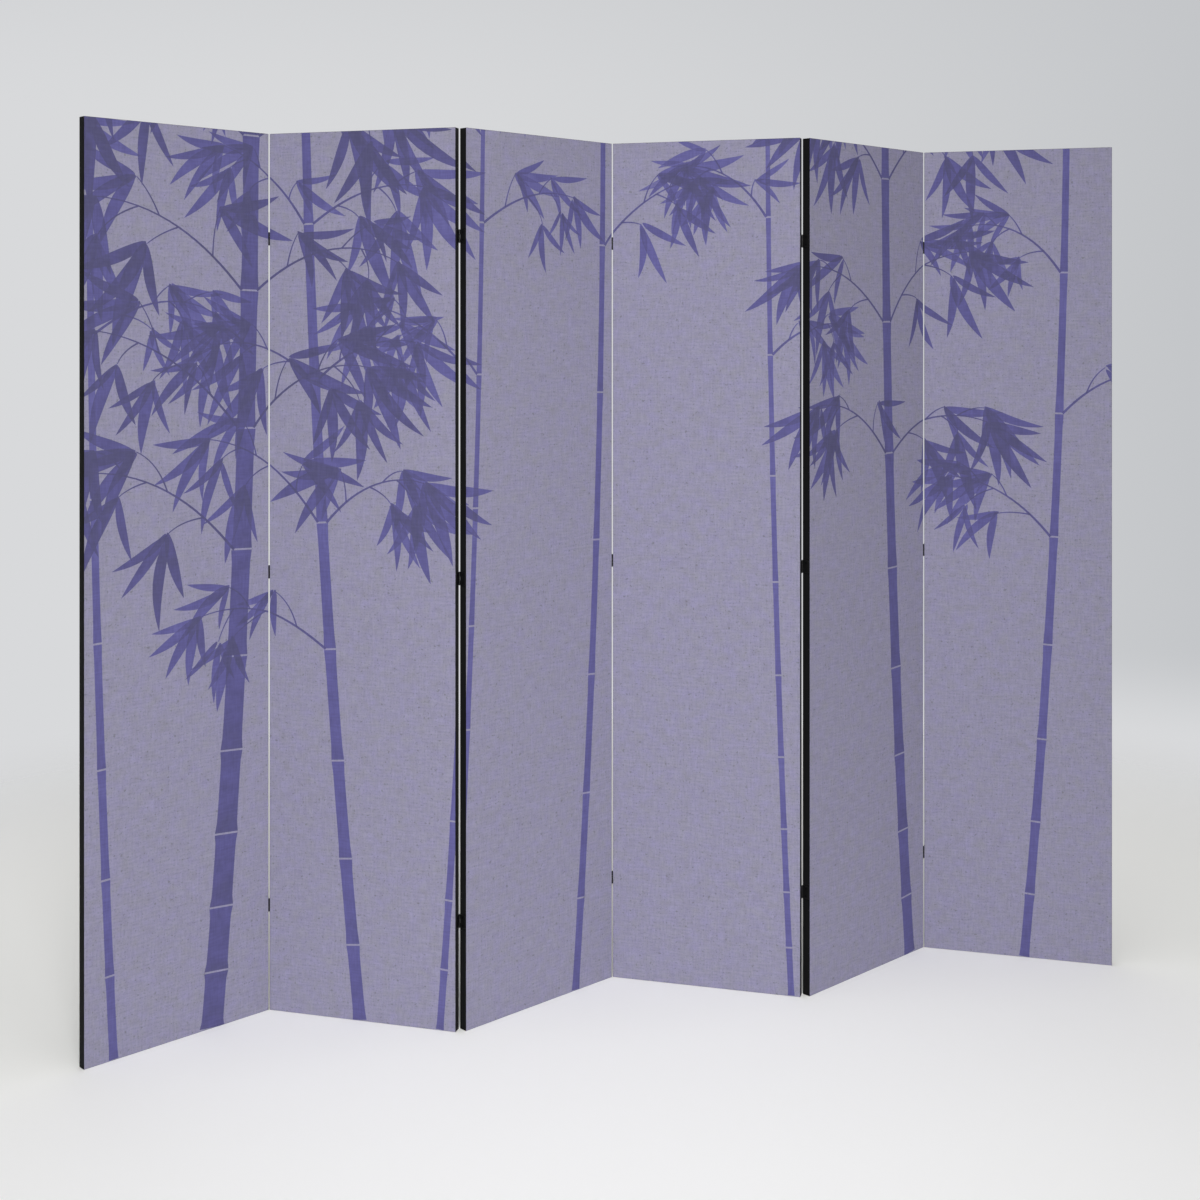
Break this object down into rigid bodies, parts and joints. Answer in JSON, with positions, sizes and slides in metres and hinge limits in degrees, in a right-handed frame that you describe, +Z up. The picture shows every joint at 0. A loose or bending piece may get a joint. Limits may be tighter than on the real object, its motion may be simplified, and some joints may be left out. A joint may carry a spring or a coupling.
{
  "type": "folding screen",
  "caption": "Free-standing folding screen of tall equal panels in a zigzag, printed canvas over wooden frames with black edges, joined by three small black butt hinges at each fold.",
  "frame": {"origin": "on the floor, at the middle of the whole screen's box at rest", "axes": "+X along the row of panels to the right as seen from the printed front, +Y to the back, +Z up"},
  "size_m": [2.146, 0.2156, 1.77],
  "materials": {
    "pine": "planed",
    "printed_canvas": "matt lilac canvas with a violet print",
    "back_cloth": "plain matt black cloth",
    "edge_tape": "matt black woven tape",
    "hinge_steel": "satin black",
    "screw_steel": "black oxide"
  },
  "bodies": {
    "panel_1": {"panel_1_left_stile": "pine", "panel_1_right_stile": "pine", "panel_1_rails": "pine", "panel_1_front_canvas": "printed_canvas", "panel_1_back_cloth": "back_cloth", "panel_1_edge_tape": "edge_tape", "panel_1_hinge_leaves": "hinge_steel", "panel_1_hinge_screws": "screw_steel", "hinge_12_pins": "hinge_steel"},
    "panel_2": {"panel_2_left_stile": "pine", "panel_2_right_stile": "pine", "panel_2_rails": "pine", "panel_2_front_canvas": "printed_canvas", "panel_2_back_cloth": "back_cloth", "panel_2_edge_tape": "edge_tape", "panel_2_hinge_leaves": "hinge_steel", "panel_2_hinge_screws": "screw_steel"},
    "panel_3": {"panel_3_left_stile": "pine", "panel_3_right_stile": "pine", "panel_3_rails": "pine", "panel_3_front_canvas": "printed_canvas", "panel_3_back_cloth": "back_cloth", "panel_3_edge_tape": "edge_tape", "panel_3_hinge_leaves": "hinge_steel", "panel_3_hinge_screws": "screw_steel", "hinge_23_pins": "hinge_steel", "hinge_34_pins": "hinge_steel"},
    "panel_4": {"panel_4_left_stile": "pine", "panel_4_right_stile": "pine", "panel_4_rails": "pine", "panel_4_front_canvas": "printed_canvas", "panel_4_back_cloth": "back_cloth", "panel_4_edge_tape": "edge_tape", "panel_4_hinge_leaves": "hinge_steel", "panel_4_hinge_screws": "screw_steel"},
    "panel_5": {"panel_5_left_stile": "pine", "panel_5_right_stile": "pine", "panel_5_rails": "pine", "panel_5_front_canvas": "printed_canvas", "panel_5_back_cloth": "back_cloth", "panel_5_edge_tape": "edge_tape", "panel_5_hinge_leaves": "hinge_steel", "panel_5_hinge_screws": "screw_steel", "hinge_45_pins": "hinge_steel", "hinge_56_pins": "hinge_steel"},
    "panel_6": {"panel_6_left_stile": "pine", "panel_6_right_stile": "pine", "panel_6_rails": "pine", "panel_6_front_canvas": "printed_canvas", "panel_6_back_cloth": "back_cloth", "panel_6_edge_tape": "edge_tape", "panel_6_hinge_leaves": "hinge_steel", "panel_6_hinge_screws": "screw_steel"}
  },
  "joints": [
    {"name": "hinge_23", "type": "hinge", "parent": "panel_3", "child": "panel_2", "pos_m": [-0.35814, -0.09265, 0], "axis": [0, 0, -1], "range_deg": [-60, 120]},
    {"name": "hinge_12", "type": "hinge", "parent": "panel_2", "child": "panel_1", "pos_m": [-0.71627, 0.09265, 0], "axis": [0, 0, 1], "range_deg": [-60, 120]},
    {"name": "hinge_34", "type": "hinge", "parent": "panel_3", "child": "panel_4", "pos_m": [0, 0.09265, 0], "axis": [0, 0, -1], "range_deg": [-60, 120]},
    {"name": "hinge_45", "type": "hinge", "parent": "panel_4", "child": "panel_5", "pos_m": [0.35814, -0.09265, 0], "axis": [0, 0, 1], "range_deg": [-60, 120]},
    {"name": "hinge_56", "type": "hinge", "parent": "panel_5", "child": "panel_6", "pos_m": [0.71627, 0.09265, 0], "axis": [0, 0, -1], "range_deg": [-60, 120]}
  ]
}
